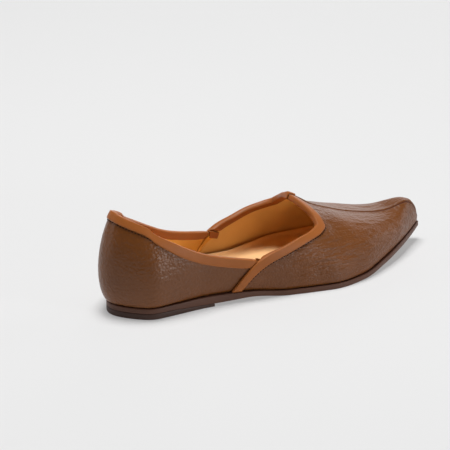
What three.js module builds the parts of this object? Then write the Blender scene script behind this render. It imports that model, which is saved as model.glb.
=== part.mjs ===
// One leather jutti, a straight slip-on that has no left or right.
// Millimetres, +X to the toe, +Y to the wearer's left, +Z up, standing on its sole.

import * as THREE from 'three';
import { mergeVertices } from 'three/addons/utils/BufferGeometryUtils.js';

// Driving sizes of the last
const lastLength = 284;        // feather line, heel to toe
const ballWidth = 101;         // feather line, at the ball
const heelWidth = 57;          // feather line, at the seat
const toeRadius = 5;           // plan radius of the toe's point
const noseRadius = 10;         // side radius of the raised toe
const instepHeight = 60;       // crown above the feather line, at the throat
const toeHeight = 22;          // crown above the feather line, near the toe
const sideBulge = 3;           // how far the sides swell past the feather line
const collarBack = 71.8;       // collar above the feather line, behind
const collarSide = 22.8;       // collar above the feather line, where the vamp meets it

// Driving sizes of the bottom
const soleThickness = 4.1;
const soleLedge = 2;           // sole past the upper, along the sides
const endLedge = 1;            // the same behind the heel and at the toe
const heelStack = 5;           // heel under the sole, at the back
const heelReach = 74;          // heel breast from the back of the upper
const breastDrop = 2.2;        // sole thickens towards the breast by this much
const toeSpring = 11.3;
const edgeRound = 0.6;         // worn edge of sole and heel

// Driving sizes of the leathers
const quarterWall = 1.8;
const vampWall = 2.0;
const lapStep = 1.2;           // the vamp stands this much over the quarter
const lapReach = 14;           // the quarter runs on under the vamp this far
const bindingWidth = 6;
const bindingInside = 5;
const bindingThickness = 1.0;
const throatNotch = 1.6;       // gap between the two throat bindings at the point
const insoleThickness = 2.0;
const clearance = 0.3;         // between pieces that touch

// Sections of the last: at is the share of the length from the heel, heel and ball share the two widths,
// instep and toe share the two crown heights, bulge shares the side bulge, stack and spring share the lift
// of the bottom, rise and round are the section's exponents up and across.
const lastSections = [
  { at: 0.00, heel: 0.71, ball: 0.00, instep: 1.56, toe: 0.00, bulge: 3.10, stack: 1.00, spring: 0.00, rise: 1.81, round: 2.03 },
  { at: 0.08, heel: 0.99, ball: 0.00, instep: 1.21, toe: 0.00, bulge: 1.92, stack: 1.00, spring: 0.00, rise: 1.85, round: 2.10 },
  { at: 0.20, heel: 0.98, ball: 0.00, instep: 1.39, toe: 0.00, bulge: 1.66, stack: 0.98, spring: 0.00, rise: 2.15, round: 2.20 },
  { at: 0.35, heel: 0.60, ball: 0.32, instep: 1.44, toe: 0.00, bulge: 1.17, stack: 0.78, spring: 0.00, rise: 2.15, round: 2.15 },
  { at: 0.48, heel: 0.20, ball: 0.71, instep: 1.15, toe: 0.00, bulge: 0.90, stack: 0.00, spring: 0.00, rise: 1.90, round: 2.10 },
  { at: 0.55, heel: 0.08, ball: 0.88, instep: 1.01, toe: 0.00, bulge: 0.90, stack: 0.00, spring: 0.00, rise: 1.75, round: 2.12 },
  { at: 0.62, heel: 0.00, ball: 1.00, instep: 0.80, toe: 0.08, bulge: 0.92, stack: 0.00, spring: 0.00, rise: 1.70, round: 2.20 },
  { at: 0.70, heel: 0.00, ball: 0.94, instep: 0.46, toe: 0.54, bulge: 1.00, stack: 0.00, spring: 0.07, rise: 2.10, round: 2.60 },
  { at: 0.80, heel: 0.00, ball: 0.71, instep: 0.10, toe: 0.98, bulge: 0.90, stack: 0.00, spring: 0.40, rise: 2.60, round: 3.20 },
  { at: 0.88, heel: 0.00, ball: 0.47, instep: 0.00, toe: 0.99, bulge: 0.73, stack: 0.00, spring: 0.70, rise: 2.60, round: 3.20 },
  { at: 0.94, heel: 0.00, ball: 0.235, instep: 0.00, toe: 1.13, bulge: 0.50, stack: 0.00, spring: 0.78, rise: 2.40, round: 2.80 },
  { at: 1.00, heel: 0.00, ball: 0.00, instep: 0.00, toe: 0.70, bulge: 0.33, stack: 0.00, spring: 1.00, rise: 2.00, round: 2.10 },
];

// Top line of the quarter: back is the share of the way from the side height to the back height.
const topLine = [
  { at: 0.00, back: 1.00 },
  { at: 0.10, back: 0.65 },
  { at: 0.25, back: 0.20 },
  { at: 0.40, back: 0.00 },
  { at: 0.55, back: -0.15 },
];

// Front edge of the vamp: up is the way round the section, 0 at the sole and 1 at the crown,
// and reach is the share of the length from the heel.
const vampEdge = [
  { up: 0.0, reach: 0.314 },
  { up: 0.2, reach: 0.404 },
  { up: 0.4, reach: 0.504 },
  { up: 0.52, reach: 0.562 },
  { up: 0.62, reach: 0.588 },
  { up: 0.70, reach: 0.590 },
  { up: 0.85, reach: 0.580 },
  { up: 1.0, reach: 0.569 },
];

// Grid counts
const quarterColumns = 18;
const quarterRows = 6;         // below the band that the binding covers
const vampColumns = 18;
const vampRows = 16;           // above the point where the top line meets the vamp
const soleStations = 36;

// Monotone cubic through one column of a table
function curve(table, key, column) {
  const x = table.map((row) => row[key]);
  const y = table.map((row) => row[column]);
  const n = x.length;
  const slope = [];
  for (let i = 0; i < n - 1; i++) slope.push((y[i + 1] - y[i]) / (x[i + 1] - x[i]));
  const tangent = [slope[0]];
  for (let i = 1; i < n - 1; i++) {
    if (slope[i - 1] * slope[i] <= 0) {
      tangent.push(0);
      continue;
    }
    const before = x[i] - x[i - 1];
    const after = x[i + 1] - x[i];
    const w1 = 2 * after + before;
    const w2 = after + 2 * before;
    tangent.push((w1 + w2) / (w1 / slope[i - 1] + w2 / slope[i]));
  }
  tangent.push(slope[n - 2]);
  return (at) => {
    const a = Math.min(Math.max(at, x[0]), x[n - 1]);
    let i = 0;
    while (i < n - 2 && a > x[i + 1]) i += 1;
    const h = x[i + 1] - x[i];
    const t = (a - x[i]) / h;
    const t2 = t * t;
    const t3 = t2 * t;
    return (2 * t3 - 3 * t2 + 1) * y[i] + (t3 - 2 * t2 + t) * h * tangent[i]
      + (3 * t2 - 2 * t3) * y[i + 1] + (t3 - t2) * h * tangent[i + 1];
  };
}

const section = {};
for (const column of Object.keys(lastSections[0])) section[column] = curve(lastSections, 'at', column);
const topBack = curve(topLine, 'at', 'back');
const vampReach = curve(vampEdge, 'up', 'reach');

function smooth(t) {
  const c = Math.min(Math.max(t, 0), 1);
  return c * c * (3 - 2 * c);
}

// 1 away from an end, falling to 0 at it along a quarter circle
function roundEnd(distance, radius) {
  if (distance >= radius) return 1;
  const t = 1 - Math.max(distance, 0) / radius;
  return Math.sqrt(Math.max(1 - t * t, 0));
}

// Half width of the feather line
function halfWidth(s) {
  const x = s * lastLength;
  const width = heelWidth * section.heel(s) + ballWidth * section.ball(s);
  return 0.5 * width * roundEnd(x, heelWidth / 2) * roundEnd(lastLength - x, toeRadius);
}

function crown(s) {
  const height = instepHeight * section.instep(s) + toeHeight * section.toe(s);
  return height * roundEnd((1 - s) * lastLength, noseRadius);
}

function lift(s) {
  return heelStack * section.stack(s) + toeSpring * section.spring(s);
}

// Top of the sole, flat across
function soleTop(s) {
  return soleThickness + lift(s);
}

// The sole thickens from the ball back to the heel breast, so that it runs down into the heel
function soleBottom(s) {
  const breast = heelReach / lastLength;
  const rear = smooth((s - 0.35 * breast) / (0.65 * breast));
  const front = 1 - smooth((s - breast) / (0.42 - breast));
  return Math.max(lift(s) - breastDrop * rear * front, 0);
}

// Feather line point and its outward normal in plan; side is -1 on the right and 1 on the left
function feather(side, s) {
  const step = 1e-4;
  const turn = Math.acos(1 - 2 * s) / Math.PI;
  const share = (t) => (1 - Math.cos(Math.PI * Math.min(Math.max(t, 0), 1))) / 2;
  const a = share(turn - step);
  const b = share(turn + step);
  const tx = (b - a) * lastLength;
  const ty = halfWidth(b) - halfWidth(a);
  const length = Math.hypot(tx, ty) || 1;
  let nx = -ty / length;
  let ny = tx / length;
  if (s <= 0) [nx, ny] = [-1, 0];
  if (s >= 1) [nx, ny] = [1, 0];
  return { x: s * lastLength, y: side * halfWidth(s), nx, ny: side * ny };
}

// Point on the last's surface: s along the length, up from 0 at the feather line to 1 at the crown
function lastPoint(side, s, up) {
  const f = feather(side, s);
  const ahead = smooth((s - 0.3) / 0.15);
  let dx = f.nx * (1 - ahead);
  let dy = f.ny * (1 - ahead) + side * ahead;
  const length = Math.hypot(dx, dy) || 1;
  dx /= length;
  dy /= length;
  const angle = up * Math.PI / 2;
  const rise = Math.sin(angle) ** (2 / section.rise(s));
  const across = Math.max(Math.cos(angle), 0) ** (2 / section.round(s));
  const wide = Math.min(s / 0.12, 1);
  const reach = halfWidth(s) * wide + (heelWidth / 2) * (1 - wide);
  const swell = sideBulge * section.bulge(s) * roundEnd((1 - s) * lastLength, noseRadius);
  const out = reach * (across - 1) + swell * Math.sin(Math.PI * up ** 0.6);
  return new THREE.Vector3(f.x + dx * out, f.y + dy * out, soleTop(s) + clearance + crown(s) * rise);
}

// Outward normal of the last's surface; level along the feather line, and without a side share on the
// centre line, so that the two halves meet
function lastNormal(side, s, up) {
  if (s > 0.9999) return new THREE.Vector3(1, 0, 0);
  const ds = 5e-4;
  const du = 2e-3;
  const s0 = Math.max(s - ds, 0);
  const s1 = Math.min(s + ds, 1);
  const u0 = Math.max(up - du, 0);
  const u1 = Math.min(up + du, 1);
  const along = lastPoint(side, s1, up).sub(lastPoint(side, s0, up));
  const round = lastPoint(side, s, u1).sub(lastPoint(side, s, u0));
  const normal = round.cross(along).multiplyScalar(side);
  normal.z *= smooth(up / 0.06);
  if (s <= 0 || up >= 1) normal.y = 0;
  return normal.normalize();
}

// Point at a distance out of the last's surface
function skin(side, s, up, out) {
  return lastPoint(side, s, up).addScaledVector(lastNormal(side, s, up), out);
}

// The same on the lining side, which never reaches over the centre line at the point of the toe
function lining(side, s, up, out) {
  const p = skin(side, s, up, out);
  const least = 0.2 * Math.abs(lastPoint(side, s, up).y);
  p.y = side * Math.max(side * p.y, up >= 1 ? 0 : least);
  return p;
}

// Way round the section at which the quarter's top line runs
function topUp(s) {
  const height = collarSide + (collarBack - collarSide) * topBack(s);
  const share = Math.min(Math.max(height / crown(s), 0), 1);
  return (2 / Math.PI) * Math.asin(share ** (section.rise(s) / 2));
}

// Where the top line runs under the vamp's edge
let crossing = 0.2;
for (let low = 0.2, high = 0.56, i = 0; i < 50; i++) {
  crossing = (low + high) / 2;
  if (vampReach(topUp(crossing)) > crossing) low = crossing;
  else high = crossing;
}
const crossingUp = topUp(crossing);

// The quarter sinks by the lap's step towards the vamp, which lies over it
function quarterOut(s) {
  return -lapStep * smooth((s - 0.08) / (crossing - 0.12));
}

function quarterIn(s) {
  return quarterOut(s) - quarterWall;
}

// The vamp's lining side: at the lap it is the quarter's, further on it is one vamp wall deep
function vampIn(s, up) {
  const edge = vampReach(up);
  const past = smooth((s - edge) * lastLength / lapReach);
  const above = smooth((up - crossingUp) / 0.12);
  const atEdge = quarterIn(crossing) * (1 - above) - vampWall * above;
  return atEdge * (1 - past) - vampWall * past;
}

// Step along up that covers a distance down from a point of the section
function upBelow(side, s, up, distance) {
  let low = 0;
  let high = up;
  const top = lastPoint(side, s, up);
  for (let i = 0; i < 40; i++) {
    const mid = (low + high) / 2;
    if (lastPoint(side, s, mid).distanceTo(top) > distance) low = mid;
    else high = mid;
  }
  return (low + high) / 2;
}

// Direction off the vamp's edge into the vamp, in the surface
function edgeInward(side, up) {
  const d = 4e-3;
  const a = Math.max(up - d, 0);
  const b = Math.min(up + d, 1);
  const along = lastPoint(side, vampReach(b), b).sub(lastPoint(side, vampReach(a), a)).normalize();
  const normal = lastNormal(side, vampReach(up), up);
  const inward = along.cross(normal).multiplyScalar(side).normalize();
  if (inward.x < 0) inward.negate();
  return inward;
}

// How fast a point on the last leaves the vamp's edge as its share of the length grows
function edgeGain(side, up) {
  const s = vampReach(up);
  const along = lastPoint(side, s + 1e-3, up).sub(lastPoint(side, s - 1e-3, up)).multiplyScalar(500);
  return Math.max(along.dot(edgeInward(side, up)), 0.45 * along.length());
}

// Share of the length that lies a distance inside the vamp's edge, evened out along the edge
function reachInside(side, up, distance) {
  let gain = 0;
  for (const off of [-0.06, -0.03, 0, 0.03, 0.06]) {
    gain += edgeGain(side, Math.min(Math.max(up + off, 0), 1)) / 5;
  }
  return vampReach(up) + distance / gain;
}

// Collects quads and triangles; corners at one place become one vertex, and flat ones are dropped
class Shell {
  constructor() {
    this.position = [];
    this.index = [];
    this.known = new Map();
  }

  vertex(p) {
    const key = [p.x, p.y, p.z].map((v) => Math.round(v * 500)).join(' ');
    if (!this.known.has(key)) {
      this.known.set(key, this.position.length / 3);
      this.position.push(p.x, p.y, p.z);
    }
    return this.known.get(key);
  }

  triangle(a, b, c, flip) {
    const i = this.vertex(a);
    const j = this.vertex(b);
    const k = this.vertex(c);
    if (i === j || j === k || k === i) return;
    if (flip) this.index.push(i, k, j);
    else this.index.push(i, j, k);
  }

  quad(a, b, c, d, flip) {
    if (a.distanceToSquared(c) <= b.distanceToSquared(d)) {
      this.triangle(a, b, c, flip);
      this.triangle(a, c, d, flip);
    } else {
      this.triangle(a, b, d, flip);
      this.triangle(b, c, d, flip);
    }
  }

  // Quads between two lines of points
  band(one, two, flip) {
    for (let i = 0; i < one.length - 1; i++) this.quad(one[i], one[i + 1], two[i + 1], two[i], flip);
  }

  // Quads over rows of points
  sheet(rows, flip) {
    for (let i = 0; i < rows.length - 1; i++) this.band(rows[i], rows[i + 1], flip);
  }

  // Closed rings joined into a tube. Its ends are filled by the faces given, as corner numbers of the
  // ring; a tube that runs out to a point or an edge has none.
  tube(rings, flip, firstCap, lastCap) {
    const closed = rings.map((ring) => [...ring, ring[0]]);
    this.sheet(closed, flip);
    const last = rings.length - 1;
    for (const [ring, cap, turned] of [[rings[0], firstCap, !flip], [rings[last], lastCap, flip]]) {
      for (const face of cap || []) {
        const corner = face.map((n) => ring[n]);
        if (corner.length === 3) this.triangle(...corner, turned);
        else this.quad(...corner, turned);
      }
    }
  }

  geometry() {
    const g = new THREE.BufferGeometry();
    g.setAttribute('position', new THREE.Float32BufferAttribute(this.position, 3));
    g.setIndex(this.index);
    return mergeVertices(g, 1e-3);
  }
}

// End faces of a folded strip's ten-cornered ring, and of a bottom piece's ring
const foldedCap = [[0, 1, 8, 9], [1, 2, 8], [2, 3, 7, 8], [3, 4, 7], [4, 5, 6, 7]];
const heelCap = [[0, 1, 4, 5], [1, 2, 3, 4]];

// Columns of the quarter, close together round the heel
function quarterColumn(i) {
  return 1 - Math.cos((i / quarterColumns) * Math.PI / 2);
}

// Columns of the vamp, close together at the toe; the first step is the binding's width
function vampShare(side, up, j) {
  const edge = vampReach(up);
  if (j === 0) return edge;
  const first = reachInside(side, up, bindingWidth);
  const t = Math.sin(((j - 1) / (vampColumns - 1)) * Math.PI / 2);
  return first + (1 - first) * t;
}

// Ways round the section used by both quarter and vamp; the row before the last of the quarter is where
// the collar binding's lower edge lies
function rowUp(side, i, topShare) {
  const top = topUp(topShare);
  const band = upBelow(side, topShare, top, bindingWidth);
  if (i > quarterRows) return top;
  return (band * i) / quarterRows;
}

const lapRows = quarterRows + 1;

function vampUp(side, k) {
  if (k <= lapRows) return rowUp(side, k, crossing);
  return crossingUp + (1 - crossingUp) * ((k - lapRows) / vampRows);
}

// Quarter point on row i and column j
function quarterPlace(side, i, j) {
  const share = quarterColumn(j);
  const up = rowUp(side, i, share * crossing);
  const lapUp = rowUp(side, i, crossing);
  return { s: share * vampReach(lapUp), up };
}

// Upper: one hollow solid, two half shells that meet behind the heel and along the centre line
function makeUpper() {
  const shell = new Shell();
  for (const side of [-1, 1]) {
    const flip = side > 0;
    const outer = [];
    const inner = [];
    for (let i = 0; i <= lapRows; i++) {
      outer.push([]);
      inner.push([]);
      for (let j = 0; j <= quarterColumns; j++) {
        const { s, up } = quarterPlace(side, i, j);
        const atLap = j === quarterColumns;
        outer[i].push(skin(side, s, up, atLap ? -lapStep : quarterOut(s)));
        inner[i].push(skin(side, s, up, atLap ? quarterIn(crossing) : quarterIn(s)));
      }
    }
    shell.sheet(outer, flip);
    shell.sheet(inner, !flip);
    shell.band(outer[lapRows], inner[lapRows], flip);
    shell.band(outer[0], inner[0], !flip);

    const vampOuter = [];
    const vampInner = [];
    const lap = [];
    for (let k = 0; k <= lapRows + vampRows; k++) {
      const up = vampUp(side, k);
      vampOuter.push([]);
      vampInner.push([]);
      lap.push(skin(side, vampReach(up), up, -lapStep));
      for (let j = 0; j <= vampColumns; j++) {
        const s = vampShare(side, up, j);
        vampOuter[k].push(skin(side, s, up, 0));
        vampInner[k].push(lining(side, s, up, vampIn(s, up)));
      }
    }
    shell.sheet(vampOuter, flip);
    shell.sheet(vampInner, !flip);
    const edgeOuter = vampOuter.map((row) => row[0]);
    const edgeInner = vampInner.map((row) => row[0]);
    shell.band(edgeOuter, lap, flip);
    shell.band(lap.slice(lapRows), edgeInner.slice(lapRows), flip);

    // Underside; its first quad also holds the corner of the lap
    const [o0, o1] = vampOuter[0];
    const [i0, i1] = vampInner[0];
    shell.triangle(o0, lap[0], o1, flip);
    shell.triangle(lap[0], i0, i1, flip);
    shell.triangle(lap[0], i1, o1, flip);
    shell.band(vampOuter[0].slice(1), vampInner[0].slice(1), !flip);
  }
  return shell.geometry();
}

// Collar binding: a folded strip over the quarter's top edge, from vamp to vamp round the heel. It stops
// where the throat binding lies on the vamp's edge.
function makeCollarBinding() {
  const near = clearance;
  const far = clearance + bindingThickness;
  const lapTop = crossingUp;
  const lapLow = rowUp(1, quarterRows, crossing);
  const ringAt = (side, column) => {
    const ends = column === quarterColumns;
    const share = quarterColumn(column);
    const top = ends ? lapTop : topUp(share * crossing);
    const sTop = ends ? reachInside(side, top, -(far + near)) : share * crossing;
    const low = ends ? lapLow : upBelow(side, share * crossing, top, bindingWidth);
    const sLow = ends ? reachInside(side, low, -(far + near)) : share * vampReach(lapLow);
    const inside = bindingInside / bindingWidth;
    const rise = (point, height) => point.add(new THREE.Vector3(0, 0, height));
    const legOut = (out) => skin(side, sLow, low, quarterOut(sLow) + out);
    const legIn = (out) => skin(side, sTop, top, quarterIn(sTop) - out)
      .lerp(skin(side, sLow, low, quarterIn(sLow) - out), inside);
    return [
      legOut(far),
      rise(skin(side, sTop, top, quarterOut(sTop) + far), near),
      rise(skin(side, sTop, top, quarterOut(sTop) + near), far),
      rise(skin(side, sTop, top, quarterIn(sTop) - near), far),
      rise(skin(side, sTop, top, quarterIn(sTop) - far), near),
      legIn(far),
      legIn(near),
      rise(skin(side, sTop, top, quarterIn(sTop) - near), near),
      rise(skin(side, sTop, top, quarterOut(sTop) + near), near),
      legOut(near),
    ];
  };
  const rings = [];
  for (let j = quarterColumns; j >= 0; j--) rings.push(ringAt(-1, j));
  for (let j = 1; j <= quarterColumns; j++) rings.push(ringAt(1, j));
  const shell = new Shell();
  shell.tube(rings, false, foldedCap, foldedCap);
  return shell.geometry();
}

// Ring of a throat binding at one way round the section. The strip lies on the vamp and its lip goes down
// over the vamp's edge: to the quarter where that is below, else through to a leg on the lining side.
function throatRing(side, up, lipInside, leg) {
  const near = clearance;
  const far = clearance + bindingThickness;
  const edge = vampReach(up);
  const first = reachInside(side, up, bindingWidth);
  const inward = edgeInward(side, up);
  const off = (point, distance) => point.addScaledVector(inward, -distance);
  const deepNear = lipInside ? vampIn(edge, up) - near : near - lapStep;
  const deepFar = lipInside ? vampIn(edge, up) - far : near - lapStep;
  const deepCorner = lipInside ? deepNear : deepFar;
  const legEnd = (out) => skin(side, edge, up, vampIn(edge, up) - out)
    .lerp(skin(side, first, up, vampIn(first, up) - out), bindingInside / bindingWidth);
  const heelOfLip = off(skin(side, edge, up, deepFar), near);
  const innerCorner = off(skin(side, edge, up, deepNear), near);
  return [
    skin(side, first, up, far),
    off(skin(side, edge, up, far), near),
    off(skin(side, edge, up, near), far),
    off(skin(side, edge, up, deepCorner), far),
    heelOfLip,
    leg ? legEnd(far) : heelOfLip.clone(),
    leg ? legEnd(near) : innerCorner.clone(),
    innerCorner,
    off(skin(side, edge, up, near), near),
    skin(side, first, up, near),
  ];
}

// Throat binding of one side: folded over the vamp's edge, from the notch at the point of the throat
// down to the sole
function makeThroatBinding(side) {
  const rings = [];
  const perUp = lastPoint(side, crossing, crossingUp + 0.01).distanceTo(lastPoint(side, crossing, crossingUp)) * 100;
  for (let k = 0; k <= lapRows; k++) rings.push(throatRing(side, vampUp(side, k), false, false));
  const clear = crossingUp + (2 * clearance) / perUp;
  rings.push(throatRing(side, clear, false, false));
  rings.push(throatRing(side, clear, true, false));
  for (let k = lapRows + 1; k < lapRows + vampRows; k++) rings.push(throatRing(side, vampUp(side, k), true, true));
  const atNotch = (up) => Math.abs(lastPoint(side, vampReach(up), up).y) < throatNotch / 2;
  let low = 0.8;
  let high = 1;
  for (let i = 0; i < 40; i++) {
    const mid = (low + high) / 2;
    if (atNotch(mid)) high = mid;
    else low = mid;
  }
  rings.push(throatRing(side, low, true, true));
  const shell = new Shell();
  shell.tube(rings, side < 0, foldedCap, foldedCap);
  return shell.geometry();
}

// Stations for the bottom pieces, close together at both ends
function station(i, count, from, to) {
  return from + (to - from) * (1 - Math.cos(Math.PI * i / count)) / 2;
}

// Sole past the upper; it is trimmed closer behind the heel and at the toe
function ledge(s) {
  return endLedge + (soleLedge - endLedge) * smooth(s / 0.25) * (1 - smooth((s - 0.8) / 0.2));
}

// Outline point of a bottom piece, a distance outside the feather line
function outline(side, s, out) {
  const f = feather(side, s);
  return new THREE.Vector2(f.x + f.nx * out, f.y + f.ny * out);
}

function makeOutsole() {
  const shell = new Shell();
  const rings = [];
  for (let i = 0; i <= soleStations; i++) {
    const s = station(i, soleStations, 0, 1);
    const top = soleTop(s);
    const bottom = soleBottom(s);
    const levels = [
      [ledge(s) - edgeRound, top],
      [ledge(s), top - edgeRound],
      [ledge(s), bottom + edgeRound],
      [ledge(s) - edgeRound, bottom],
    ];
    const right = levels.map(([out, z]) => {
      const p = outline(-1, s, out);
      return new THREE.Vector3(p.x, p.y, z);
    });
    const left = right.map((p) => new THREE.Vector3(p.x, -p.y, p.z)).reverse();
    rings.push([...right, ...left]);
  }
  shell.tube(rings, false);
  return shell.geometry();
}

function makeHeel() {
  const shell = new Shell();
  const rings = [];
  const count = 12;
  for (let i = 0; i <= count; i++) {
    const s = (heelReach / lastLength) * (1 - Math.cos((Math.PI / 2) * i / count));
    const top = soleBottom(s) - clearance;
    const levels = [[ledge(s), top], [ledge(s), edgeRound], [ledge(s) - edgeRound, 0]];
    const right = levels.map(([out, z]) => {
      const p = outline(-1, s, out);
      return new THREE.Vector3(p.x, p.y, z);
    });
    const left = right.map((p) => new THREE.Vector3(p.x, -p.y, p.z)).reverse();
    rings.push([...right, ...left]);
  }
  shell.tube(rings, false, null, heelCap);
  return shell.geometry();
}

// Sock over the sole, inside the upper's wall
function makeInsole() {
  const inset = lapStep + quarterWall + 2 * clearance;
  let tip = 0.8;
  for (let high = 1, i = 0; i < 40; i++) {
    const mid = (tip + high) / 2;
    if (outline(1, mid, -inset).y > 0) tip = mid;
    else high = mid;
  }
  const rings = [];
  for (let i = 0; i <= soleStations; i++) {
    const p = outline(1, station(i, soleStations, 0, tip), -inset);
    const y = i === 0 || i === soleStations ? 0 : p.y;
    const low = soleTop(p.x / lastLength) + clearance;
    rings.push([
      new THREE.Vector3(p.x, -y, low + insoleThickness),
      new THREE.Vector3(p.x, -y, low),
      new THREE.Vector3(p.x, y, low),
      new THREE.Vector3(p.x, y, low + insoleThickness),
    ]);
  }
  const shell = new Shell();
  shell.tube(rings, false);
  return shell.geometry();
}

function material(color, roughness) {
  return new THREE.MeshStandardMaterial({ color, roughness, metalness: 0 });
}

const brownLeather = material(0x6e4b32, 0.5);
const tanLeather = material(0xa0653a, 0.55);
const liningLeather = material(0xd7a069, 0.7);
const soleLeather = material(0x41302a, 0.6);

const jutti = new THREE.Group();

function place(name, geometry, finish) {
  const mesh = new THREE.Mesh(geometry, finish.clone());
  mesh.name = name;
  jutti.add(mesh);
}

place('outsole', makeOutsole(), soleLeather);
place('heel', makeHeel(), soleLeather);
place('insole', makeInsole(), liningLeather);
place('upper', makeUpper(), brownLeather);
place('collar_binding', makeCollarBinding(), tanLeather);
place('throat_binding_right', makeThroatBinding(-1), tanLeather);
place('throat_binding_left', makeThroatBinding(1), tanLeather);

// Origin under the middle of the shoe's box, on the floor
const box = new THREE.Box3().setFromObject(jutti);
const middle = box.getCenter(new THREE.Vector3());
for (const mesh of jutti.children) mesh.position.set(-middle.x, -middle.y, -box.min.z);

export default jutti;
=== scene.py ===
import bpy
import bmesh
import math
import numpy as np
from mathutils import Matrix, Vector


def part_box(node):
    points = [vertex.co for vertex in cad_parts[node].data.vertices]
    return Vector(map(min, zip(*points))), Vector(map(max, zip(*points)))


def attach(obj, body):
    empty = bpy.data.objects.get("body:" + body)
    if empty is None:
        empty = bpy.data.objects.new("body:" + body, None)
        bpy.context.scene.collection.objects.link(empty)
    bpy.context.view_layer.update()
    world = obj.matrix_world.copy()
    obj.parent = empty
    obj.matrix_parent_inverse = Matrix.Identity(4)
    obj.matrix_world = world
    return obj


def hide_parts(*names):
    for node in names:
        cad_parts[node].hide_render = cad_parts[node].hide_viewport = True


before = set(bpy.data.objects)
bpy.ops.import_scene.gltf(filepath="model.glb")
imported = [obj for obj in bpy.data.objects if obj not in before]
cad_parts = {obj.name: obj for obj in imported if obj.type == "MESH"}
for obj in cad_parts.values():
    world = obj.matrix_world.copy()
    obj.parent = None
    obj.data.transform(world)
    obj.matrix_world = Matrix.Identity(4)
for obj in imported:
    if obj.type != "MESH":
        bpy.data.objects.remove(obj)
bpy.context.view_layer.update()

# Sizes of the last and the leathers, in millimetres, as in the part
last_length = 284.0            # feather line, heel to toe
ball_width = 101.0             # feather line, at the ball
heel_width = 57.0              # feather line, at the seat
toe_radius = 5.0               # plan radius of the toe's point
nose_radius = 10.0             # side radius of the raised toe
instep_height = 60.0           # crown above the feather line, at the throat
toe_height = 22.0              # crown above the feather line, near the toe
side_bulge = 3.0               # how far the sides swell past the feather line
collar_back = 71.8             # collar above the feather line, behind
collar_side = 22.8             # collar above the feather line, where the vamp meets it
sole_thickness = 4.1
sole_ledge = 2.0               # sole past the upper, along the sides
end_ledge = 1.0                # the same behind the heel and at the toe
heel_stack = 5.0               # heel under the sole, at the back
heel_reach = 74.0              # heel breast from the back of the upper
breast_drop = 2.2              # sole thickens towards the breast by this much
toe_spring = 11.3
quarter_wall = 1.8
vamp_wall = 2.0
lap_step = 1.2                 # the vamp stands this much over the quarter
lap_reach = 14.0               # the quarter's thickness runs out under the vamp over this length
binding_width = 6.0
binding_inside = 5.0           # the same on the lining side
binding_thickness = 1.0
throat_notch = 1.6             # gap between the two throat bindings at the point
clearance = 0.3                # between pieces that touch

# Sizes of what is added here, in millimetres where nothing else is said
up_length = 75.0               # from the feather line up to the crown, about
outer_share = 1.0              # outer leather's thickness; the rest of a wall is lining
lining_gap = 0.02              # between an outer leather and its lining
quarter_ahead = 4.0            # the quarter's leather goes on under the vamp this far
lining_ahead = 1.0             # its lining does, this far
vamp_lining_start = 0.014      # start of the vamp's lining, as share of the way from the edge to the toe
tuck_depth = 0.28              # the leather turns in at its lower edge by this much
tuck_height = 1.2              # and over this height
lip_height = 0.35              # left half of the vamp over the right half, along the centre seam
lip_at_throat = 1.2            # what comes to that at the throat
lip_flat = 1.5                 # distance from the seam at which the lip begins to fall
lip_fall = 9.0                 # width over which it falls
ridge_height = 0.30            # soft ridges along both sides of the seam
ridge_place = 1.3              # their distance from it
ridge_width = 0.8
groove_depth = 0.55            # groove that the seam lies in
groove_width = 0.45
seam_radius = 0.46
seam_sink = 0.28               # middle of the seam under the leather's face
front_reach = 3.2              # front of the quarter's lining past the vamp's edge, at the sole
front_more = 4.8               # what comes to that at the crossing
front_back = 0.4               # it starts this far behind the edge
front_gap = 0.05               # it lies this far inside the vamp's lining
front_depth = 0.75             # and reaches this far in
end_length = 9.6               # end of the collar's binding past the crossing, along its upper edge
end_slant = 1.6                # its lower corner is shorter by this much
end_back = 1.2                 # it starts this far behind the crossing
end_above = 0.014              # and over the collar's line by this share of the way up
end_wider = 1.0                # it is this much wider than the binding's inner leg
end_gap = 0.1                  # it lies this far inside the vamp's lining
end_depth = 1.5                # and reaches this far in
strip_sink = 0.2               # a strip's underside comes this much nearer to the leather
collar_fold = 0.75             # height of the collar's fold, as share of a round one
throat_fold = 0.8              # the same at the throat
fold_seat = 0.1                # under the crossing the throat's fold ends this far over the quarter
fold_hollow = 0.15             # height of the hollow in a fold
stitch_pitch = 2.5
stitch_length = 1.5
stitch_radius = 0.34
stitch_offset = 0.9            # row of stitches from the binding's edge
stitch_height = 0.06           # middle of a stitch over the leather
sole_low_round = 0.3           # worn edge of the sole at its tread
sole_top_round = 0.7           # and at its top
heel_round = 0.7               # worn edge of the heel
heel_gap = 0.12                # between heel and sole
board_past = 0.3               # the insole board comes this much nearer to the wall
board_low = 0.1                # its underside and top over the sole
board_high = 1.6

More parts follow.
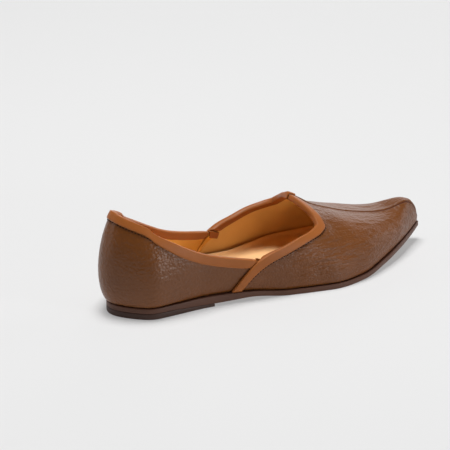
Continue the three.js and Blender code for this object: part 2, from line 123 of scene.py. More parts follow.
# Sections of the last: share of the length, heel and ball width, instep and toe height, side bulge,
# heel stack, toe spring, and the section's exponents up and across
sections = np.array([
    (0.00, 0.71, 0.00, 1.56, 0.00, 3.10, 1.00, 0.00, 1.81, 2.03),
    (0.08, 0.99, 0.00, 1.21, 0.00, 1.92, 1.00, 0.00, 1.85, 2.10),
    (0.20, 0.98, 0.00, 1.39, 0.00, 1.66, 0.98, 0.00, 2.15, 2.20),
    (0.35, 0.60, 0.32, 1.44, 0.00, 1.17, 0.78, 0.00, 2.15, 2.15),
    (0.48, 0.20, 0.71, 1.15, 0.00, 0.90, 0.00, 0.00, 1.90, 2.10),
    (0.55, 0.08, 0.88, 1.01, 0.00, 0.90, 0.00, 0.00, 1.75, 2.12),
    (0.62, 0.00, 1.00, 0.80, 0.08, 0.92, 0.00, 0.00, 1.70, 2.20),
    (0.70, 0.00, 0.94, 0.46, 0.54, 1.00, 0.00, 0.07, 2.10, 2.60),
    (0.80, 0.00, 0.71, 0.10, 0.98, 0.90, 0.00, 0.40, 2.60, 3.20),
    (0.88, 0.00, 0.47, 0.00, 0.99, 0.73, 0.00, 0.70, 2.60, 3.20),
    (0.94, 0.00, 0.235, 0.00, 1.13, 0.50, 0.00, 0.78, 2.40, 2.80),
    (1.00, 0.00, 0.00, 0.00, 0.70, 0.33, 0.00, 1.00, 2.00, 2.10),
])
# Line of the collar: share of the length, and share of the way from the side height to the back height
top_line = np.array([(0.00, 1.00), (0.10, 0.65), (0.25, 0.20), (0.40, 0.00), (0.55, -0.15)])
# Back edge of the vamp: way up, 0 at the sole and 1 at the crown, and share of the length
vamp_edge = np.array([
    (0.0, 0.314), (0.2, 0.404), (0.4, 0.504), (0.52, 0.562), (0.62, 0.588), (0.70, 0.590),
    (0.85, 0.580), (1.0, 0.569)])


def curve(x, y):
    """Monotone cubic through the points."""
    slope = np.diff(y) / np.diff(x)
    tangent = [slope[0]]
    for i in range(1, len(x) - 1):
        if slope[i - 1] * slope[i] <= 0:
            tangent.append(0.0)
            continue
        before = x[i] - x[i - 1]
        after = x[i + 1] - x[i]
        w1 = 2 * after + before
        w2 = after + 2 * before
        tangent.append((w1 + w2) / (w1 / slope[i - 1] + w2 / slope[i]))
    tangent.append(slope[-1])
    tangent = np.array(tangent)

    def value(at):
        a = np.clip(at, x[0], x[-1])
        i = np.clip(np.searchsorted(x, a, side="left") - 1, 0, len(x) - 2)
        h = x[i + 1] - x[i]
        t = (a - x[i]) / h
        t2 = t * t
        t3 = t2 * t
        return ((2 * t3 - 3 * t2 + 1) * y[i] + (t3 - 2 * t2 + t) * h * tangent[i]
                + (3 * t2 - 2 * t3) * y[i + 1] + (t3 - t2) * h * tangent[i + 1])
    return value


names = ("heel", "ball", "instep", "toe", "bulge", "stack", "spring", "rise", "round")
section = {name: curve(sections[:, 0], sections[:, i + 1]) for i, name in enumerate(names)}
top_back = curve(top_line[:, 0], top_line[:, 1])
vamp_reach = curve(vamp_edge[:, 0], vamp_edge[:, 1])


def smooth(t):
    """Soft step from 0 to 1."""
    c = np.clip(t, 0.0, 1.0)
    return c * c * (3 - 2 * c)


def round_end(distance, radius):
    """1 away from an end, falling to 0 at it along a quarter circle."""
    t = 1 - np.clip(distance, 0.0, radius) / radius
    return np.sqrt(np.maximum(1 - t * t, 0.0))


def half_width(s):
    """Half width of the feather line."""
    x = s * last_length
    width = heel_width * section["heel"](s) + ball_width * section["ball"](s)
    return 0.5 * width * round_end(x, heel_width / 2) * round_end(last_length - x, toe_radius)


def crown(s):
    """Height of the last over the feather line."""
    height = instep_height * section["instep"](s) + toe_height * section["toe"](s)
    return height * round_end((1 - s) * last_length, nose_radius)


def lift(s):
    """Height of the sole's plain underside: heel at the back, toe spring in front."""
    return heel_stack * section["stack"](s) + toe_spring * section["spring"](s)


def sole_top(s):
    return sole_thickness + lift(s)


def sole_bottom(s):
    """The sole thickens from the ball back to the heel breast, so that it runs down into the heel."""
    breast = heel_reach / last_length
    rear = smooth((s - 0.35 * breast) / (0.65 * breast))
    front = 1 - smooth((s - breast) / (0.42 - breast))
    return np.maximum(lift(s) - breast_drop * rear * front, 0.0)


def feather(side, s):
    """Point of the feather line, where upper and sole meet, and its outward normal in plan; side is -1 on
    the right and 1 on the left."""
    step = 1e-4
    turn = np.arccos(np.clip(1 - 2 * s, -1, 1)) / np.pi
    a = (1 - np.cos(np.pi * np.clip(turn - step, 0, 1))) / 2
    b = (1 - np.cos(np.pi * np.clip(turn + step, 0, 1))) / 2
    tx = (b - a) * last_length
    ty = half_width(b) - half_width(a)
    length = np.maximum(np.hypot(tx, ty), 1e-12)
    nx = -ty / length
    ny = tx / length
    nx = np.where(s <= 0, -1.0, np.where(s >= 1, 1.0, nx))
    ny = np.where((s <= 0) | (s >= 1), 0.0, ny)
    return s * last_length, side * half_width(s), nx, side * ny


def same_shape(*values):
    return np.broadcast_arrays(*[np.asarray(value, float) for value in values])


def last_point(side, s, up):
    """Point on the last: s along the length, up from 0 at the feather line to 1 at the crown."""
    side, s, up = same_shape(side, s, up)
    fx, fy, nx, ny = feather(side, s)
    ahead = smooth((s - 0.3) / 0.15)
    dx = nx * (1 - ahead)
    dy = ny * (1 - ahead) + side * ahead
    length = np.maximum(np.hypot(dx, dy), 1e-12)
    dx = dx / length
    dy = dy / length
    angle = up * np.pi / 2
    rise = np.maximum(np.sin(angle), 0.0) ** (2 / section["rise"](s))
    across = np.maximum(np.cos(angle), 0.0) ** (2 / section["round"](s))
    wide = np.minimum(s / 0.12, 1.0)
    reach = half_width(s) * wide + (heel_width / 2) * (1 - wide)
    swell = side_bulge * section["bulge"](s) * round_end((1 - s) * last_length, nose_radius)
    out = reach * (across - 1) + swell * np.sin(np.pi * np.maximum(up, 0.0) ** 0.6)
    return np.stack([fx + dx * out, fy + dy * out, sole_top(s) + clearance + crown(s) * rise], -1)


def unit(v):
    return v / np.maximum(np.linalg.norm(v, axis=-1, keepdims=True), 1e-12)


def last_normal(side, s, up):
    """Outward normal of the last: level along the feather line, without a side share on the centre line."""
    side, s, up = same_shape(side, s, up)
    ds = 5e-4
    du = 2e-3
    along = last_point(side, np.minimum(s + ds, 1), up) - last_point(side, np.maximum(s - ds, 0), up)
    around = last_point(side, s, np.minimum(up + du, 1)) - last_point(side, s, np.maximum(up - du, 0))
    normal = np.cross(around, along) * side[..., None]
    normal[..., 2] *= smooth(up / 0.06)
    normal[..., 1] = np.where((s <= 0) | (up >= 1), 0.0, normal[..., 1])
    normal = unit(normal)
    normal[s > 0.9999] = (1.0, 0.0, 0.0)
    return normal


def skin(side, s, up, out):
    """Point at a distance out of the last's surface."""
    out = np.asarray(out, float)
    return last_point(side, s, up) + last_normal(side, s, up) * out[..., None]


def lining_point(side, s, up, out):
    """The same inside the vamp, where it never reaches over the centre line."""
    side = np.broadcast_to(np.asarray(side, float), np.shape(s))
    p = skin(side, s, up, out)
    least = np.where(np.asarray(up) >= 1, 0.0, 0.2 * np.abs(last_point(side, s, up)[..., 1]))
    p[..., 1] = side * np.maximum(side * p[..., 1], least)
    return p


def top_up(s):
    """Way up at which the collar's line runs."""
    height = collar_side + (collar_back - collar_side) * top_back(s)
    share = np.clip(height / np.maximum(crown(s), 1e-6), 0, 1)
    return (2 / np.pi) * np.arcsin(share ** (section["rise"](s) / 2))


def bisect(low, high, below, steps=45):
    """Values between low and high at which below() turns false."""
    low = np.array(low, float)
    high = np.array(high, float)
    for _ in range(steps):
        mid = (low + high) / 2
        hit = below(mid)
        low = np.where(hit, mid, low)
        high = np.where(hit, high, mid)
    return (low + high) / 2


# Where the collar's line runs under the vamp's edge
crossing = float(bisect(0.2, 0.56, lambda s: vamp_reach(top_up(s)) > s))
crossing_up = float(top_up(crossing))


def quarter_out(s):
    """Outer face of the quarter, which sinks towards the vamp by the lap's step."""
    return -lap_step * smooth((s - 0.08) / (crossing - 0.12))


def quarter_in(s):
    """Lining side of the quarter."""
    return quarter_out(s) - quarter_wall


def vamp_in(s, up):
    """Lining side of the vamp: at the lap it is the quarter's, further on it is one vamp wall deep."""
    past = smooth((s - vamp_reach(up)) * last_length / lap_reach)
    above = smooth((up - crossing_up) / 0.12)
    at_edge = quarter_in(crossing) * (1 - above) - vamp_wall * above
    return at_edge * (1 - past) - vamp_wall * past


def up_below(side, s, up, distance):
    """Way up of the point that lies a distance down from another."""
    top = last_point(side, s, up)
    return bisect(np.zeros(np.shape(up)), up,
                  lambda mid: np.linalg.norm(last_point(side, s, mid) - top, axis=-1) > distance)


def edge_inward(side, up):
    """Direction from the vamp's edge into the vamp, in the surface."""
    d = 4e-3
    a = np.maximum(up - d, 0)
    b = np.minimum(up + d, 1)
    along = unit(last_point(side, vamp_reach(b), b) - last_point(side, vamp_reach(a), a))
    inward = unit(np.cross(along, last_normal(side, vamp_reach(up), up)))
    return inward * np.sign(inward[..., :1])


def edge_gain(side, up):
    """How fast a point on the last leaves the vamp's edge as its share of the length grows."""
    s = vamp_reach(up)
    along = (last_point(side, s + 1e-3, up) - last_point(side, s - 1e-3, up)) * 500
    return np.maximum((along * edge_inward(side, up)).sum(-1), 0.45 * np.linalg.norm(along, axis=-1))


def reach_inside(side, up, distance):
    """Share of the length that lies a distance inside the vamp's edge, evened out along the edge."""
    offs = np.linspace(-0.13, 0.13, 9)
    gain = sum(edge_gain(side, np.clip(up + off, 0, 1)) for off in offs) / len(offs)
    return vamp_reach(up) + distance / gain


# The frame has its origin under the middle of the shoe
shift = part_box("outsole")[0].x * 1000 + end_ledge


def metres(points):
    """Points of the part's millimetres in the frame."""
    p = np.array(points, float).reshape(-1, 3) / 1000
    p[:, 0] += shift / 1000
    return p


def add_piece(name, points, faces, material, replaced, flat=False):
    """A mesh object from points in the part's millimetres. Doubled points are joined, flat faces dropped."""
    mesh = bpy.data.meshes.new(name)
    mesh.from_pydata(metres(points).tolist(), [], faces)
    bm = bmesh.new()
    bm.from_mesh(mesh)
    bmesh.ops.remove_doubles(bm, verts=bm.verts, dist=2e-6)
    bmesh.ops.dissolve_degenerate(bm, dist=1e-6, edges=bm.edges)
    bmesh.ops.recalc_face_normals(bm, faces=bm.faces)
    bm.to_mesh(mesh)
    bm.free()
    mesh.polygons.foreach_set("use_smooth", [not flat] * len(mesh.polygons))
    piece = bpy.data.objects.new(name, mesh)
    bpy.context.scene.collection.objects.link(piece)
    mesh.materials.append(material)
    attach(piece, "root")
    if replaced:
        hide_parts(*replaced)
    return piece


def slab(outer, inner):
    """Points and faces of the closed body between two grids of points."""
    rows, columns = outer.shape[:2]
    points = np.concatenate([outer.reshape(-1, 3), inner.reshape(-1, 3)])
    n = rows * columns

    def at(i, j, layer):
        return layer * n + i * columns + j
    faces = []
    last_row = rows - 1
    last_column = columns - 1
    for i in range(last_row):
        for j in range(last_column):
            faces.append((at(i, j, 0), at(i, j + 1, 0), at(i + 1, j + 1, 0), at(i + 1, j, 0)))
            faces.append((at(i, j, 1), at(i + 1, j, 1), at(i + 1, j + 1, 1), at(i, j + 1, 1)))
    for i in range(last_row):
        faces.append((at(i, 0, 0), at(i + 1, 0, 0), at(i + 1, 0, 1), at(i, 0, 1)))
        faces.append((at(i, last_column, 0), at(i, last_column, 1),
                      at(i + 1, last_column, 1), at(i + 1, last_column, 0)))
    for j in range(last_column):
        faces.append((at(0, j, 0), at(0, j, 1), at(0, j + 1, 1), at(0, j + 1, 0)))
        faces.append((at(last_row, j, 0), at(last_row, j + 1, 0),
                      at(last_row, j + 1, 1), at(last_row, j, 1)))
    return points, faces


def tube(rings, capped=True):
    """Points and faces of closed rings joined into a tube, with its ends filled."""
    count, size = rings.shape[:2]
    faces = []
    for i in range(count - 1):
        for j in range(size):
            k = (j + 1) % size
            faces.append((i * size + j, i * size + k, (i + 1) * size + k, (i + 1) * size + j))
    if capped:
        faces.append(tuple(range(size))[::-1])
        faces.append(tuple((count - 1) * size + j for j in range(size)))
    return rings.reshape(-1, 3), faces


# Materials
def new_material(name):
    material = bpy.data.materials.new(name)
    material.use_nodes = True
    return material, material.node_tree.nodes, material.node_tree.links


def plain_leather(name, color, roughness, spread, grain, depth, gloss=0.25, waves=0.0):
    """Leather: its colour drifts a little, and its grain is a bump of cells that a noise pushes about.
    Depth of the grain and of the waves, which are long soft wrinkles in patches, is in metres."""
    material, nodes, links = new_material(name)
    shader = nodes["Principled BSDF"]
    shader.inputs["Roughness"].default_value = roughness
    shader.inputs["Specular IOR Level"].default_value = gloss
    place = nodes.new("ShaderNodeTexCoord")
    drift = nodes.new("ShaderNodeTexNoise")
    drift.inputs["Scale"].default_value = 28
    drift.inputs["Detail"].default_value = 6
    links.new(place.outputs["Object"], drift.inputs["Vector"])
    ramp = nodes.new("ShaderNodeValToRGB")
    ramp.color_ramp.elements[0].position = 0.3
    ramp.color_ramp.elements[0].color = [c * (1 - spread) for c in color] + [1]
    ramp.color_ramp.elements[1].position = 0.7
    ramp.color_ramp.elements[1].color = [min(c * (1 + spread), 1) for c in color] + [1]
    links.new(drift.outputs["Fac"], ramp.inputs["Fac"])
    links.new(ramp.outputs["Color"], shader.inputs["Base Color"])
    push = nodes.new("ShaderNodeTexNoise")
    push.inputs["Scale"].default_value = grain * 0.35
    push.inputs["Detail"].default_value = 2
    links.new(place.outputs["Object"], push.inputs["Vector"])
    mix = nodes.new("ShaderNodeMixRGB")
    mix.blend_type = "LINEAR_LIGHT"
    mix.inputs["Fac"].default_value = 0.9 / grain
    links.new(place.outputs["Object"], mix.inputs["Color1"])
    links.new(push.outputs["Color"], mix.inputs["Color2"])
    cells = nodes.new("ShaderNodeTexVoronoi")
    cells.feature = "SMOOTH_F1"
    cells.inputs["Scale"].default_value = grain
    cells.inputs["Smoothness"].default_value = 0.4
    links.new(mix.outputs["Color"], cells.inputs["Vector"])
    bump = nodes.new("ShaderNodeBump")
    bump.invert = True
    bump.inputs["Strength"].default_value = 1.0
    bump.inputs["Distance"].default_value = depth
    links.new(cells.outputs["Distance"], bump.inputs["Height"])
    links.new(bump.outputs["Normal"], shader.inputs["Normal"])
    if waves:
        stretch = nodes.new("ShaderNodeMapping")
        stretch.inputs["Scale"].default_value = (0.17, 0.7, 1.0)
        links.new(place.outputs["Object"], stretch.inputs["Vector"])
        wrinkle = nodes.new("ShaderNodeTexNoise")
        wrinkle.inputs["Scale"].default_value = 360
        wrinkle.inputs["Detail"].default_value = 3
        links.new(stretch.outputs["Vector"], wrinkle.inputs["Vector"])
        patch = nodes.new("ShaderNodeTexNoise")
        patch.inputs["Scale"].default_value = 22
        patch.inputs["Detail"].default_value = 1
        links.new(place.outputs["Object"], patch.inputs["Vector"])
        where = nodes.new("ShaderNodeMapRange")
        where.inputs["From Min"].default_value = 0.40
        where.inputs["From Max"].default_value = 0.62
        where.inputs["To Min"].default_value = 0.25
        where.inputs["To Max"].default_value = 1.0
        links.new(patch.outputs["Fac"], where.inputs["Value"])
        second = nodes.new("ShaderNodeBump")
        second.inputs["Distance"].default_value = waves
        links.new(where.outputs["Result"], second.inputs["Strength"])
        links.new(wrinkle.outputs["Fac"], second.inputs["Height"])
        links.new(bump.outputs["Normal"], second.inputs["Normal"])
        links.new(second.outputs["Normal"], shader.inputs["Normal"])
    return material


upper_leather = plain_leather(
    "upper_pebbled", (0.165, 0.053, 0.0115), roughness=0.37, spread=0.10,
    grain=560, depth=0.00028, gloss=0.32, waves=0.0019)
quarter_leather = plain_leather(
    "quarter_pebbled", (0.160, 0.052, 0.0110), roughness=0.35, spread=0.10,
    grain=430, depth=0.00031, gloss=0.34, waves=0.0007)
binding_leather = plain_leather(
    "binding_tan", (0.36, 0.112, 0.025), roughness=0.42, spread=0.08,
    grain=1500, depth=0.00006, gloss=0.20)
quarter_lining_leather = plain_leather(
    "lining_quarter", (0.80, 0.40, 0.085), roughness=0.6, spread=0.08,
    grain=1300, depth=0.00006, gloss=0.15)
vamp_lining_leather = plain_leather(
    "lining_vamp", (0.84, 0.54, 0.22), roughness=0.6, spread=0.06,
    grain=1300, depth=0.00006, gloss=0.15)
sock_leather = plain_leather(
    "sock_tan", (0.93, 0.58, 0.28), roughness=0.6, spread=0.05,
    grain=1400, depth=0.00005, gloss=0.15)
sole_leather = plain_leather(
    "sole_brown", (0.110, 0.045, 0.026), roughness=0.5, spread=0.12,
    grain=900, depth=0.00005, gloss=0.3)
heel_leather = plain_leather(
    "heel_brown", (0.066, 0.032, 0.023), roughness=0.5, spread=0.12,
    grain=900, depth=0.00005, gloss=0.3)
thread = plain_leather(
    "thread_dark", (0.022, 0.009, 0.005), roughness=0.7, spread=0.05,
    grain=2500, depth=0.00002)
seam_leather = plain_leather(
    "seam_brown", (0.090, 0.020, 0.008), roughness=0.6, spread=0.05,
    grain=1500, depth=0.00004)

# Creases listed on the outer leather: side, start and end as share of the length and way up, half
# width and depth in millimetres
creases = [
    (-1, 0.012, 0.00, 0.020, 0.05, 1.0, 0.45),
    (-1, 0.030, 0.00, 0.030, 0.06, 1.2, 0.35),
    (1, 0.018, 0.00, 0.022, 0.06, 1.1, 0.40),
]


def crease_depth(side, s, up):
    """Depth of all creases together at a point."""
    total = np.zeros(np.shape(s))
    for one, s0, u0, s1, u1, width, depth in creases:
        ax, ay = s0 * last_length, u0 * up_length
        bx, by = s1 * last_length, u1 * up_length
        px, py = s * last_length, up * up_length
        length2 = max((bx - ax) ** 2 + (by - ay) ** 2, 1e-9)
        t = np.clip(((px - ax) * (bx - ax) + (py - ay) * (by - ay)) / length2, 0, 1)
        d2 = (px - ax - t * (bx - ax)) ** 2 + (py - ay - t * (by - ay)) ** 2
        total += depth * np.exp(-d2 / (2 * width * width)) * (side == one)
    return total


def tuck(side, s, up):
    """The leather turns in at its lower edge."""
    z = (last_point(side, s, up) - last_point(side, s, np.zeros_like(up)))[..., 2]
    t = 1 - np.clip(z / tuck_height, 0, 1)
    return tuck_depth * (1 - np.sqrt(np.maximum(1 - t * t, 0)))


def heel_columns(c):
    """Side and share of the way to the crossing, close together round the heel; c runs from -1 at the
    vamp on the right to 1 at the vamp on the left."""
    return np.where(c < 0, -1.0, 1.0), 1 - np.cos(np.abs(c) * np.pi / 2)


# Quarter: from the vamp's edge on the right round the heel to the left, with its front under the vamp
def quarter_grid(count, rows, ahead):
    """Side, share of the length and way up of the quarter's grid, which goes on ahead of the vamp's edge."""
    side, share = heel_columns(np.linspace(-1, 1, 2 * count + 1))
    i = np.linspace(0, 1, rows + 1)
    top = top_up(share * crossing)
    up = i[:, None] * top[None, :]
    reach = vamp_reach(i * crossing_up)
    s = share[None, :] * (reach[:, None] + smooth((share[None, :] - 0.7) / 0.3) * ahead / last_length)
    return np.broadcast_to(side, up.shape), s, up


side, s, up = quarter_grid(70, 46, quarter_ahead)
outer = skin(side, s, up, quarter_out(s) - tuck(side, s, up) - crease_depth(side, s, up))
inner = skin(side, s, up, quarter_out(s) - outer_share)
points, faces = slab(outer, inner)
add_piece("quarter_leather", points, faces, quarter_leather, ["upper"])

side, s, up = quarter_grid(60, 30, lining_ahead)
outer = skin(side, s, up, quarter_out(s) - outer_share - lining_gap)
inner = skin(side, s, up, quarter_in(s))
points, faces = slab(outer, inner)
add_piece("quarter_lining", points, faces, quarter_lining_leather, ["upper"])

# Line of the centre seam: share of the length, and millimetres to the left of the middle
seam_table = np.array([
    (0.50, 0.2), (0.57, 0.0), (0.65, -1.8), (0.75, -4.6), (0.84, -5.2), (0.92, -6.6), (0.97, -4.2),
    (1.0, 0.0)])
seam_y = curve(seam_table[:, 0], seam_table[:, 1])

# Vamp: each column runs from the sole on the right over the crown to the sole on the left, with its rows
# gathered at the centre seam. near_rows holds their distances from it; they shrink where a half is less
# than near_span wide.
near_rows = np.array([0.0, 0.2, 0.42, 0.7, 1.05, 1.5, 2.1, 3.0, 4.2])
near_span = 14.0


def vamp_grid(columns, rows, first_step):
    """Side, share of the length and way up of the vamp's grid, and each point's distance from the seam."""
    v = np.sort(np.concatenate([np.linspace(-1, 1, 801), np.linspace(-0.12, 0.12, 401)]))
    side = np.where(v < 0, -1.0, 1.0)
    up = 1 - np.abs(v)
    edge = vamp_reach(up)
    t = np.sin(np.linspace(0, 1, columns + 1) * np.pi / 2)
    t = 0.35 * np.linspace(0, 1, columns + 1) + 0.65 * t
    t = first_step + (1 - first_step) * t
    sides, shares, ups, distances = [], [], [], []
    for j in range(columns + 1):
        s = edge + (1 - edge) * t[j]
        p = last_point(side, s, up)
        step = np.linalg.norm(np.diff(p, axis=0), axis=1)
        arc = np.concatenate([[0], np.cumsum(step)])
        gap = p[:, 1] - seam_y(s)
        past = np.flatnonzero((np.abs(v) < 0.6) & (gap > 0))
        if j == columns or len(past) == 0:
            at_seam = arc[len(arc) // 2]
        else:
            b = past[0]
            a = b - 1
            at_seam = arc[a] + (arc[b] - arc[a]) * gap[a] / (gap[a] - gap[b])
        halves = []
        for length, way in ((at_seam, -1), (arc[-1] - at_seam, 1)):
            near = near_rows * min(1.0, length / near_span)
            far = np.linspace(0, 1, rows - len(near_rows) + 2)[1:]
            spots = np.concatenate([near, near[-1] + (length - near[-1]) * far])
            halves.append((at_seam + way * spots, spots))
        target = np.concatenate([halves[0][0][::-1], halves[1][0][1:]])
        distance = np.concatenate([-halves[0][1][::-1], halves[1][1][1:]])
        vv = np.interp(target, arc, v) if arc[-1] > 1e-6 else np.linspace(-1, 1, len(target))
        vv[0] = -1.0
        vv[-1] = 1.0
        uu = 1 - np.abs(vv)
        ee = vamp_reach(uu)
        sides.append(np.where(vv < 0, -1.0, 1.0))
        ups.append(uu)
        shares.append(ee + (1 - ee) * t[j])
        distances.append(distance)
    return tuple(np.array(a).T for a in (sides, shares, ups, distances))


def far_lip(distance, s):
    """The left half's leather stands a little over the right half's, most of all at the throat."""
    rise = smooth(distance) * (1 - smooth((distance - lip_flat) / lip_fall))
    return rise * (lip_height + lip_at_throat * (1 - smooth((s - 0.575) / 0.085)))


def seam_relief(distance, s):
    """A shallow groove with soft ridges along the centre seam, running out at the point of the toe."""
    d = np.abs(distance)
    ridges = ridge_height * np.exp(-((d - ridge_place) / ridge_width) ** 2)
    groove = groove_depth * np.exp(-(d / groove_width) ** 2)
    return (ridges - groove + far_lip(distance, s)) * (1 - smooth((s - 0.985) / 0.015))


side, s, up, from_seam = vamp_grid(110, 52, 0)
outer = skin(side, s, up, seam_relief(from_seam, s) - tuck(side, s, up) - crease_depth(side, s, up))
inner = lining_point(side, s, up, np.full(s.shape, -outer_share))
points, faces = slab(outer, inner)
add_piece("vamp_leather", points, faces, upper_leather, ["upper"])
seam_row = np.argmin(np.abs(from_seam[:, 0]))
seam_place = (side[seam_row], s[seam_row], up[seam_row])

side, s, up, from_seam = vamp_grid(60, 34, vamp_lining_start)
outer = lining_point(side, s, up, np.full(s.shape, -outer_share - lining_gap))
inner = lining_point(side, s, up, vamp_in(s, up))
points, faces = slab(outer, inner)
add_piece("vamp_lining", points, faces, vamp_lining_leather, ["upper"])

# Front of the quarter's lining, which lies inside the vamp, and the end of the collar's binding over it
front_rows = np.linspace(0.05, 0.88, 25)
for side_name, side_sign in (("right", -1.0), ("left", 1.0)):
    up = np.broadcast_to((front_rows * crossing_up)[:, None], (25, 9))
    reach = front_reach + front_more * smooth((front_rows - 0.45) / 0.55)
    s = vamp_reach(up) + (reach[:, None] * np.linspace(0, 1, 9)[None, :] - front_back) / last_length
    outer = skin(side_sign, s, up, vamp_in(s, up) - front_gap)
    inner = skin(side_sign, s, up, vamp_in(s, up) - front_depth)
    points, faces = slab(outer, inner)
    add_piece("quarter_lining_front_" + side_name, points, faces,
              quarter_lining_leather, ["upper"])
    t = np.linspace(0, 1, 13)
    levels = []
    for w in np.linspace(0, 1, 7):
        s = crossing + (t * (end_length - end_slant * w * w) - end_back) / last_length
        down = w * (binding_inside + end_wider)
        levels.append((s, up_below(side_sign, s, top_up(s) + end_above, down)))
    s = np.array([one[0] for one in levels])
    up = np.array([one[1] for one in levels])
    outer = skin(side_sign, s, up, vamp_in(s, up) - end_gap)
    inner = skin(side_sign, s, up, vamp_in(s, up) - end_depth)
    points, faces = slab(outer, inner)
    add_piece("collar_binding_end_" + side_name, points, faces,
              binding_leather, ["collar_binding"])


def round_tube(path, radius, sides=8):
    """Rings round a path of points."""
    p = np.asarray(path, float)
    along = unit(np.gradient(p, axis=0))
    aside = np.array([0.13, 0.31, 0.94])     # a direction that no path follows
    first = unit(np.cross(along, aside))
    second = np.cross(along, first)
    angle = np.linspace(0, 2 * np.pi, sides, endpoint=False)
    r = np.broadcast_to(radius, (len(p),))[:, None, None]
    around = (np.cos(angle)[None, :, None] * first[:, None, :]
              + np.sin(angle)[None, :, None] * second[:, None, :])
    return p[:, None, :] + r * around


path = skin(*seam_place, np.full(seam_place[1].shape, -seam_sink))
points, faces = tube(round_tube(path[:-1], seam_radius))
add_piece("centre_seam", points, faces, seam_leather, ["upper"])


# Bindings: a closed ring of points across the strip, as distance from the edge and height over the leather
def strip_profile(width, thickness):
    """Outer face of one leg of a strip, from its far edge to the fold."""
    face = [(width, 0.0), (width + 0.02, 0.35), (width - 0.12, 0.72), (width - 0.42, 0.95)]
    for w in np.linspace(width - 1.0, 0.4, 6):
        face.append((w, thickness + 0.05 * math.sin(math.pi * w / width)))
    return face


fold_angles = np.linspace(0, math.pi, 13)


def collar_rings(count):
    """Rings of the folded strip over the quarter's top edge, from the vamp round the heel to the vamp."""
    side, share = heel_columns(np.linspace(-1, 1, 2 * count + 1))
    top = top_up(share * crossing)
    low = up_below(side, share * crossing, top, binding_width)
    low_end = up_below(1.0, np.array(crossing), np.array(crossing_up), binding_width)
    # Towards the vamp's edge the rings lean along with it
    lean = smooth((share - 0.93) / 0.07)
    back_off = -(clearance * 2 + binding_thickness) * lean
    s_top = share * crossing
    s_low = share * vamp_reach(low_end)
    s_top = s_top * (1 - lean) + reach_inside(side, top, back_off) * lean
    s_low = s_low * (1 - lean) + reach_inside(side, np.broadcast_to(low_end, top.shape), back_off) * lean

    def leg(w, out):
        t = w / binding_width
        ss = s_top + (s_low - s_top) * t
        return skin(side, ss, top + (low - top) * t, out(ss))

    def outside(w, h):
        return leg(w, lambda ss: quarter_out(ss) + clearance + h)

    def inside(w, h):
        return leg(w, lambda ss: quarter_in(ss) - clearance - h)
    q_out = skin(side, s_top, top, quarter_out(s_top))
    q_in = skin(side, s_top, top, quarter_in(s_top))
    centre = (q_out + q_in) / 2
    across = (q_out - q_in) / 2
    half = np.linalg.norm(across, axis=-1, keepdims=True)
    across = across / half
    upward = unit(np.array([0.0, 0.0, 1.0]) - across * across[:, 2:])
    ring = [outside(w, h) for w, h in strip_profile(binding_width, binding_thickness)]
    for a in fold_angles:
        ring.append(centre + across * (half + clearance + binding_thickness) * math.cos(a)
                    + upward * (clearance + binding_thickness) * collar_fold * math.sin(a))
    ring += [inside(w, h) for w, h in strip_profile(binding_inside, binding_thickness)[::-1]]
    ring += [inside(w, -strip_sink) for w in np.linspace(binding_inside - 0.3, 0.4, 4)]
    for a in fold_angles[::-2]:
        ring.append(centre + across * (half + clearance - strip_sink) * math.cos(a)
                    + upward * fold_hollow * math.sin(a))
    ring += [outside(w, -strip_sink) for w in np.linspace(0.4, binding_width - 0.3, 4)]
    return np.stack(ring, 1)


points, faces = tube(collar_rings(80))
add_piece("collar_binding_fold", points, faces, binding_leather, ["collar_binding"])


def throat_rings(side, count):
    """Rings of the folded strip over the vamp's edge, from the sole up to the point of the throat. Below
    the crossing the strip has no inner leg, because the quarter lies there."""
    target = throat_notch / 2
    last_up = float(bisect(0.8, 1.0, lambda u: np.abs(last_point(side, vamp_reach(u), u)[..., 1]) >= target))
    u = np.concatenate([np.linspace(0, crossing_up, 26)[:-1], np.linspace(crossing_up, last_up, count - 25)])
    edge = vamp_reach(u)
    off = -edge_inward(side, u)
    lift_up = far_lip((1 - u) * up_length, edge) if side > 0 else np.zeros(u.shape)
    leg = smooth((u - crossing_up - 0.004) / 0.03)
    lip = -lap_step + fold_seat
    deep = lip * (1 - leg) + vamp_in(edge, u) * leg

    def outside(w, h):
        return skin(side, reach_inside(side, u, w), u, clearance + h + lift_up)

    def inside(w, h):
        ss = reach_inside(side, u, w * leg)
        return skin(side, ss, u, vamp_in(ss, u) * leg + lip * (1 - leg) - (clearance + h) * leg)
    q_out = skin(side, edge, u, lift_up)
    q_in = skin(side, edge, u, deep)
    centre = (q_out + q_in) / 2
    across = (q_out - q_in) / 2
    half = np.linalg.norm(across, axis=-1, keepdims=True)
    across = across / half
    ring = [outside(w, h) for w, h in strip_profile(binding_width, binding_thickness)]
    for a in fold_angles:
        share = 1.0 if math.cos(a) > 0 else leg[:, None]
        ring.append(centre + across * (half + (clearance + binding_thickness) * share) * math.cos(a)
                    + off * (clearance + binding_thickness) * throat_fold * math.sin(a) ** 0.9)
    ring += [inside(w, h) for w, h in strip_profile(binding_inside, binding_thickness)[::-1]]
    ring += [inside(w, -strip_sink) for w in np.linspace(binding_inside - 0.3, 0.4, 4)]
    for a in fold_angles[::-2]:
        share = 1.0 if math.cos(a) > 0 else leg[:, None]
        ring.append(centre + across * (half + (clearance - strip_sink) * share) * math.cos(a)
                    + off * fold_hollow * math.sin(a))
    ring += [outside(w, -strip_sink) for w in np.linspace(0.4, binding_width - 0.3, 4)]
    return np.stack(ring, 1)


for side_name, side_sign in (("right", -1.0), ("left", 1.0)):
    points, faces = tube(throat_rings(side_sign, 110))
    add_piece("throat_binding_fold_" + side_name, points, faces,
              binding_leather, ["throat_binding_" + side_name])


# Bottom pieces
def outline(side, s, out):
    """Point in plan at a distance out of the feather line."""
    fx, fy, nx, ny = feather(side, s)
    return fx + nx * out, fy + ny * out


